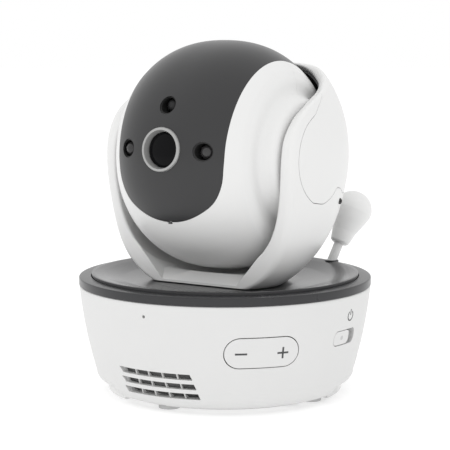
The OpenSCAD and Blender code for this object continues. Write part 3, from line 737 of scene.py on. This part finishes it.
def seam_outline(gap):
    """Side view of the part of the hood that the back cover takes: a round lobe and a wavy foot."""
    lobe = arc(0, AXIS_Z, 15.6 - gap, 112, 242, 27)
    foot = [(-1.5, 66.3, 6), (3.4, 67.9, 4), (8.3, 71, 2.5), (12.4, 70.4, 2.5), (16, 68.3, 3), (60, 68.3, 0)]
    foot = [(y, z + gap, r) for y, z, r in foot]
    over = [(60, 125), (13 + gap, 125), (10 + gap, 107.5)]
    return soft([(-2.5 + gap, 98), (-4.6 + gap, 96.2)] + lobe + foot + over)


def core(grow):
    """Inner layer of the arms, which stays with the front part and closes the seam from behind."""
    a, b, n = CORE_A + grow, CORE_B + grow, 2 / HOOD_N
    points = [
        (b * math.cos(t) ** n, a * math.copysign(abs(math.sin(t)) ** n, t))
        for t in np.linspace(-math.pi / 2 + 1e-4, math.pi / 2 - 1e-4, 49)
    ]
    points[0], points[-1] = (0, -a), (0, a)
    back = CORE_Y + grow
    behind = side_prism([(back, 0), (80, 0), (80, 140), (back, 140)])
    return carve(build("core", moved(lathe(points, 96), AT_AXIS @ ABOUT_X)), behind)


def make_yoke():
    skin = yoke_shape()
    source = smooth_source(skin)
    below = side_prism([(-60, 0), (60, 0), (60, YOKE_Z), (-60, YOKE_Z)])
    whole = carve(build("yoke", skin), below)
    cover = whole.copy()
    cover.data = whole.data.copy()
    cover.name = "yoke_cover"
    scene.collection.objects.link(cover)
    boolean(whole, boolean(build("zone", side_prism(seam_outline(0))), core(0)))
    hole = moved(rod(1.1, -2.5, 5, 32), Matrix.Translation((36.5, SCREW_Y, SCREW_Z)) @ ABOUT_X)
    carve(whole, hole, moved(hole, Matrix.Scale(-1, 4, (1, 0, 0))))
    carve(cover, side_prism(seam_outline(SEAM_GAP)), how="INTERSECT")
    boolean(cover, core(0.1))
    # the web between the arms' feet slopes back and meets them in crisp corners
    feet = [(-14.6, 39), (14.6, 39), (24, 50), (24, 62), (-24, 62), (-24, 50)]
    scoop = build("scoop", prism(feet, -40, -1))
    slope = [(-50, 38.9), (-16.9, 38.9), (-11.7, 42.1), (0, 42.6), (0, 70), (-50, 70)]
    boolean(whole, carve(scoop, side_prism(slope), how="INTERSECT"))
    for ob, node in ((whole, "yoke_front"), (cover, "yoke_back_cover")):
        shade(ob, 35, source)
        finish_piece(ob, "yoke", WHITE, [node])

    screw = [(0, -4.0), (1.05, -4.0), (1.05, -1.2), (0.85, -1.0), (0.4, -1.0), (0.3, -1.6), (0, -1.7)]
    heads = []
    for side in (1, -1):
        place = Matrix.Translation((side * SCREW_X, SCREW_Y, SCREW_Z))
        heads.append(moved(lathe(screw, 32), place @ Matrix.Rotation(side * math.radians(90), 4, "Y")))
    plain_piece("cover_screws", joined(*heads), 30, "yoke", BLACK, ["yoke_screws"])

    # dark sheet of painted shade inside the back of the hood, behind the head, open round the tilt axis
    edge = rim_curve(RIM_INSIDE, cavity_size, np.linspace(0, 2 * math.pi, 160, endpoint=False))
    rows = sheet_rows(edge, cavity_size, 40, 2.6)
    centre = np.array((0, 0, AXIS_Z))
    shells = [[centre + (r - centre) * k for r in rows] for k in (0.998, 0.982)]
    painted_hood_shade = build("painted_hood_shade", loop_grid(shells[0][::-1] + shells[1]))
    carve(painted_hood_shade, side_prism([(10, 71), (10, 103), (60, 128), (60, 71)]), how="INTERSECT")
    carve(painted_hood_shade, moved(rod(24, -60, 60, 96), AT_AXIS @ ABOUT_X))
    shade(painted_hood_shade, 40)
    finish_piece(painted_hood_shade, "yoke", PAINTED_HOOD_SHADE, ["hood_liner"])


make_yoke()

# ---------------------------------------------------------------- head, worked out level about its own middle

HEAD_A, HEAD_B, HEAD_N = 33.6, 38.8, 2.3
SHIELD_T, SHELL_T = 1.2, 2.0
SHIELD_W, CHIN_Z = 21.5, -23.3
LENS_R, LAMP_X, LAMP_R, LIGHT_Z, LIGHT_R = 7.25, 14.5, 3.1, 14.4, 3.0
BARREL_R = 5.7


def half_ball(inset, count=48):
    """Half profile of the head in [radius, x], from the widest point out to the axis."""
    a, b, n = HEAD_A - inset, HEAD_B - inset, 2 / HEAD_N
    return [(b * math.sin(t) ** n, a * math.cos(t) ** n) for t in np.linspace(math.pi / 2, 0, count)]


def mirrored(half):
    """A full profile from its half, given from the widest point out to the axis."""
    return half[::-1] + [(r, -x) for r, x in half[1:]]


def head_profile():
    """The head with a shallow step round the raised boss on each side."""
    ball = [p for p in half_ball(0, 90) if p[0] > 28.6]
    step = [
        (27.6, 25.35), (26.4, 25.95), (25, 26.3), (23.5, 26.45), (22.2, 26.75), (21.1, 27.5), (20.4, 28.7),
        (19.7, 30.2), (18.7, 31.3), (15, 32.2), (8, 32.9), (0, 33.1),
    ]
    half = ball[:-1] + [tuple(p) for p in spline(ball[-2:] + step, 70)[1:]]
    half[-1] = (0.0, half[-1][1])
    return mirrored(half)


def ball_layer(inset, count=48):
    half = half_ball(inset, count)
    half[-1] = (0.0, half[-1][1])
    return moved(lathe(mirrored(half), 240), ABOUT_X)


def shield_outline(gap):
    """Front view of the shield's region in [x, z]: a band that narrows a little to a round chin."""
    edge = [
        (21.3, 24), (21.0, 12), (20.7, 3), (20.45, -4), (19.6, -10.4), (16.9, -15.9), (12.5, -19.6),
        (6.4, -22.4), (0, CHIN_Z), (-6.4, -22.4),
    ]
    right = [(SHIELD_W, 60), (SHIELD_W, 36)] + [tuple(p) for p in spline(edge, 60) if p[0] > 0.05]
    right = [(x - gap * min(1, x / 8), z + gap * (1 if z < -10 else 0)) for x, z in right]
    return right + [(0, CHIN_Z + gap)] + [(-x, z) for x, z in right[::-1]]


def shield_zone(gap=0.0):
    """The shield's region: the chin at the front, and a plain band over the top and down the back."""
    w = SHIELD_W - gap
    back = [(w, -12 + gap), (w, 60), (-w, 60), (-w, -12 + gap)]
    return prism(shield_outline(gap), -FAR, 0.001), prism(back, 0, FAR)


def face_holes(gap, notch_w, notch_z):
    """Holes for the lens, lamps and light sensor as one shape, and the small notch at the chin."""
    places = ((0, 0, LENS_R), (-LAMP_X, 0, LAMP_R), (LAMP_X, 0, LAMP_R), (0, LIGHT_Z, LIGHT_R))
    holes = [prism(arc(x, z, r + gap, 0, 355, 72), -FAR, -20) for x, z, r in places]
    return joined(*holes), prism(bar(notch_w, 0.8, 0, notch_z), -FAR, -20)


def make_head():
    outside = moved(lathe(head_profile(), 240), ABOUT_X)
    source = smooth_source(outside)
    front_zone, back_zone = shield_zone()
    for node, zone, y0, y1 in (
        ("head_front_shell", front_zone, -60, 0), ("head_rear_shell", back_zone, 0.06, 60),
    ):
        shell = carve(build(node + "_skin", outside), prism(bar(120, 120, 0, 0), y0, y1), how="INTERSECT")
        carve(shell, ball_layer(SHIELD_T + SHELL_T))
        boolean(shell, carve(build("zone", zone), ball_layer(SHIELD_T)))
        if node == "head_front_shell":
            carve(shell, *face_holes(0.1, 1.9, -23.5))
        shade(shell, 38, source)
        shell.data.transform(HEAD)
        finish_piece(shell, "head", WHITE, [node])

    layer = ball_layer(0.0, 96)
    shield = carve(build("shield", layer), ball_layer(SHIELD_T - 0.05))
    front_zone, back_zone = shield_zone(0.07)
    boolean(shield, carve(build("zone", front_zone), back_zone, how="UNION"), "INTERSECT")
    carve(shield, *face_holes(0.0, 1.7, -23.35))
    shade(shield, 38, smooth_source(layer))
    shield.data.transform(HEAD)
    finish_piece(shield, "head", SHIELD, ["face_shield"])


make_head()


def along_y(profile, x=0.0, z=0.0, steps=96):
    """A body of revolution that faces the front. The profile is in [radius, y] in the head's own frame."""
    turn = Matrix.Translation((x, 0, z)) @ Matrix.Rotation(math.radians(-90), 4, "X")
    return moved(lathe(profile, steps), HEAD @ turn)


def make_lens():
    front = -HEAD_B - 0.4
    section = soft([
        (5.8, -34.6), (7.1, -34.6), (LENS_R - 0.03, front + 0.6, 0.3), (LENS_R - 0.3, front, 0.35),
        (6.3, front + 0.05, 0.2), (5.9, -37.6, 0.1), (5.8, -37.2),
    ])
    rim = along_y(section, steps=160)
    plain_piece("lens_rim", rim, 40, "head", LENS_METAL, ["lens_ring"])
    barrel = [(0, -25), (BARREL_R, -25), (BARREL_R, -36.5), (5.2, -36.7), (4.9, -36.3)]
    barrel += [(4.6, -35.7), (0, -35.7)]
    cell = along_y(barrel, steps=120)
    plain_piece("lens_cell", cell, 30, "head", BLACK, ["lens_barrel"])
    dome = [(BARREL_R * math.sin(t), -36.8 - 0.9 * math.cos(t)) for t in np.linspace(math.pi / 2, 0, 20)]
    dome = [(0, -36.55), (BARREL_R, -36.55)] + dome[:-1] + [(0, dome[-1][1])]
    plain_piece("lens_front", along_y(dome), 45, "head", GLASS, ["lens_glass"])


make_lens()


def make_lamps():
    """Infrared lamps and the light sensor: clear domes, each at the bottom of a black sleeve."""
    for name, look, r, tip, spots, wall, node in (
        ("lamp_domes", LAMP, 2.4, -35.6, ((-LAMP_X, 0), (LAMP_X, 0)), LAMP_R - 0.03, "infrared_lamps"),
        ("light_dome", FILTER, 2.3, -34.4, ((0, LIGHT_Z),), LIGHT_R - 0.03, "light_sensor"),
    ):
        domes, sleeves = [], []
        for x, z in spots:
            # the head's surface at the middle of the opening
            reach = (1 - (abs(x) / HEAD_A) ** HEAD_N) ** (1 / HEAD_N)
            face = -HEAD_B * reach if x else -math.sqrt(HEAD_B**2 - z * z)
            profile = [(0, -28), (r + 0.25, -28), (r + 0.25, tip + r + 0.9), (r, tip + r + 0.8)]
            profile += [(r * math.cos(t), tip + r - r * math.sin(t)) for t in np.linspace(0, math.pi / 2, 14)]
            profile[-1] = (0, tip)
            domes.append(along_y(profile, x, z, 64))
            tube = [(r + 0.3, -28.5), (wall, -28.5), (wall, face - 4), (wall - 0.25, face - 4)]
            tube += [(wall - 0.4, tip + 0.9), (r + 0.3, tip + 1.2)]
            sleeves.append(along_y(tube, x, z, 64))
        plain_piece(name, joined(*domes), 45, "head", look, [node])
        ob = build(name.split("_")[0] + "_sleeves", joined(*sleeves))
        carve(ob, moved(ball_layer(0.35), HEAD), how="INTERSECT")
        shade(ob, 40)
        finish_piece(ob, "head", BLACK)


make_lamps()

# ---------------------------------------------------------------- controls on the wall


MINUS_ANGLE, PLUS_ANGLE, SIGN_ANGLE = 38.6, 55.2, 89.5


def wall_layer(inner, outer):
    """A layer that follows the wall, between two distances outside it."""
    zs = np.linspace(WALL_LOW, WALL_TOP, 40)
    return lathe([(wall_r(z) + outer, z) for z in zs[::-1]] + [(wall_r(z) + inner, z) for z in zs], 400)


def wall_patch(name, outlines, angle, inner, outer, soft_edge=0.0):
    """A piece that follows the wall behind an outline seen square on, turned to an angle round the base."""
    layer = wall_layer(inner, outer)
    cut = moved(joined(*[prism(o, *CUT) for o in outlines]), turned(angle))
    ob = carve(build(name, layer), cut, how="INTERSECT")
    if soft_edge:
        bevel(ob, soft_edge)
    return shade(ob, 40, smooth_source(layer))


def make_controls():
    cap = pill(ROCKER_W, ROCKER_H, 0, ROCKER_Z, 24)
    ob = wall_patch("volume_key_cap", [cap], ROCKER_ANGLE, -1.4, 0.12, 0.3)
    finish_piece(ob, "volume_key", WHITE_SATIN, ["volume_rocker"])
    ob = wall_patch("minus_sign", [bar(3.9, 0.62, 0, ROCKER_Z - 0.2)], MINUS_ANGLE, 0.0, 0.15)
    finish_piece(ob, "volume_key", PRINT)
    # half of the plus sign's outline, and the same turned half way round
    half, thin, z = 1.9, 0.31, ROCKER_Z - 0.3
    plus = [(half, thin), (thin, thin), (thin, half), (-thin, half), (-thin, thin), (-half, thin)]
    plus += [(-x, -dz) for x, dz in plus]
    ob = wall_patch("plus_sign", [[(x, z + dz) for x, dz in plus]], PLUS_ANGLE, 0.0, 0.15)
    finish_piece(ob, "volume_key", PRINT)

    z, gap = 30.2, 32
    ring = arc(0, z, 1.8, 90 + gap, 450 - gap, 40) + arc(0, z, 1.36, 450 - gap, 90 + gap, 40)
    ob = wall_patch("power_sign", [ring, bar(0.46, 2.0, 0, z + 1.2)], SIGN_ANGLE, -0.1, 0.02)
    finish_piece(ob, "base", PRINT)

    rest = -POWER_TRAVEL / 2
    ob = wall_patch("power_knob", [round_rect(8.6, 4.6, 1.7, rest, POWER_Z)], POWER_ANGLE, -4.2, -0.12, 0.45)
    finish_piece(ob, "power_key", WHITE_SATIN, ["power_slider"])
    ob = wall_patch("power_knob_mark", [arc(rest, POWER_Z, 0.75, 0, 350, 30)[::-1]], POWER_ANGLE, -0.2, -0.1)
    finish_piece(ob, "power_key", GREY)
    ob = wall_patch("power_tray", [round_rect(15.5, 7.6, 1.6, 0, POWER_Z)], POWER_ANGLE, -5.6, -5.1)
    finish_piece(ob, "base", BLACK)


make_controls()

# ---------------------------------------------------------------- temperature sensor


BULB_R, BULB_Z = 7.0, 19.7
STALK_FOOT = turned(STALK_ANGLE) @ Matrix.Translation((0, -STALK_AT, PLATE_TOP))
STALK = STALK_FOOT @ Matrix.Rotation(math.radians(STALK_LEAN), 4, "X")


def make_sensor():
    """The bulb and its stem lean outwards. The collar stands upright on the plate."""
    neck = [(0, 6.7), (2.6, 6.7, 0.3), (3.4, 7.4, 0.8), (4.3, 11.6, 2.5), (5.8, 15.6, 4.0)]
    bulb = soft(neck + [(BULB_R, BULB_Z - 1.2, 3.0)], closed=False)[:-1]
    bulb += [
        (BULB_R * math.cos(t), BULB_Z + BULB_R * math.sin(t)) for t in np.linspace(-0.05, math.pi / 2, 26)
    ]
    bulb[-1] = (0, bulb[-1][1])
    plain_piece("sensor_tip", moved(lathe(bulb, 96), STALK), 45, "base", WHITE, ["sensor_bulb"])
    stem = moved(lathe([(0, -1.4), (1.65, -1.4), (1.65, 7.6), (1.45, 8.0), (0, 8.0)], 48), STALK)
    plain_piece("sensor_stem", stem, 40, "base", WHITE_SATIN, ["sensor_stalk"])
    collar = soft([(1.75, -0.8), (2.4, -0.8), (2.4, 0.1, 0.1), (2.1, 0.2, 0.1), (1.75, 0.2)])
    collar = moved(lathe(collar, 64), STALK_FOOT)
    plain_piece("sensor_collar", collar, 40, "base", RING, ["sensor_grommet"])


make_sensor()

# ---------------------------------------------------------------- camera, light and floor


def look_at(ob, target):
    ob.rotation_mode = "QUATERNION"
    ob.rotation_quaternion = (Vector(target) - ob.location).to_track_quat("-Z", "Y")


cam = bpy.data.objects.new("camera", bpy.data.cameras.new("camera"))
scene.collection.objects.link(cam)
cam.data.sensor_width, cam.data.lens = 36, 128.4
yaw, pitch, distance = math.radians(32.5), math.radians(7.16), 0.55
aim = Vector((0, 0, 0.0568))
cam.location = aim + distance * Vector(
    (math.sin(yaw) * math.cos(pitch), -math.cos(yaw) * math.cos(pitch), math.sin(pitch))
)
look_at(cam, aim)
scene.camera = cam

world = bpy.data.worlds.new("studio")
scene.world = world
world.use_nodes = True
world.node_tree.nodes["Background"].inputs["Color"].default_value = (1, 1, 1, 1)
world.node_tree.nodes["Background"].inputs["Strength"].default_value = 1.0
scene.view_settings.view_transform = "Standard"


def softbox(name, place, size, power):
    """A round light in metres and watts, aimed at the head. Glossy surfaces don't show it."""
    light = bpy.data.lights.new(name, "AREA")
    light.shape, light.size, light.energy = "DISK", size, power
    ob = bpy.data.objects.new(name, light)
    scene.collection.objects.link(ob)
    ob.location = place
    look_at(ob, (0, 0, 0.06))
    ob.visible_camera = False
    ob.visible_glossy = False


softbox("key", (-0.75, -0.6, 0.95), 1.0, 1.6)
softbox("top", (0.1, 0.2, 1.2), 1.2, 1.4)
softbox("front", (0.5, -0.9, 0.3), 0.7, 1.0)

floor = build("floor", rod(4000, 0, -10, 64))
floor.data.transform(Matrix.Scale(MM, 4))
floor_look = plastic("floor_white", (0.6, 0.6, 0.6), 0.9, 20, 0.0, 0.0, spec=0.0)
glow = floor_look.node_tree.nodes["Principled BSDF"].inputs
glow["Emission Color"].default_value = (1, 1, 1, 1)
glow["Emission Strength"].default_value = 0.5
floor.data.materials.append(floor_look)
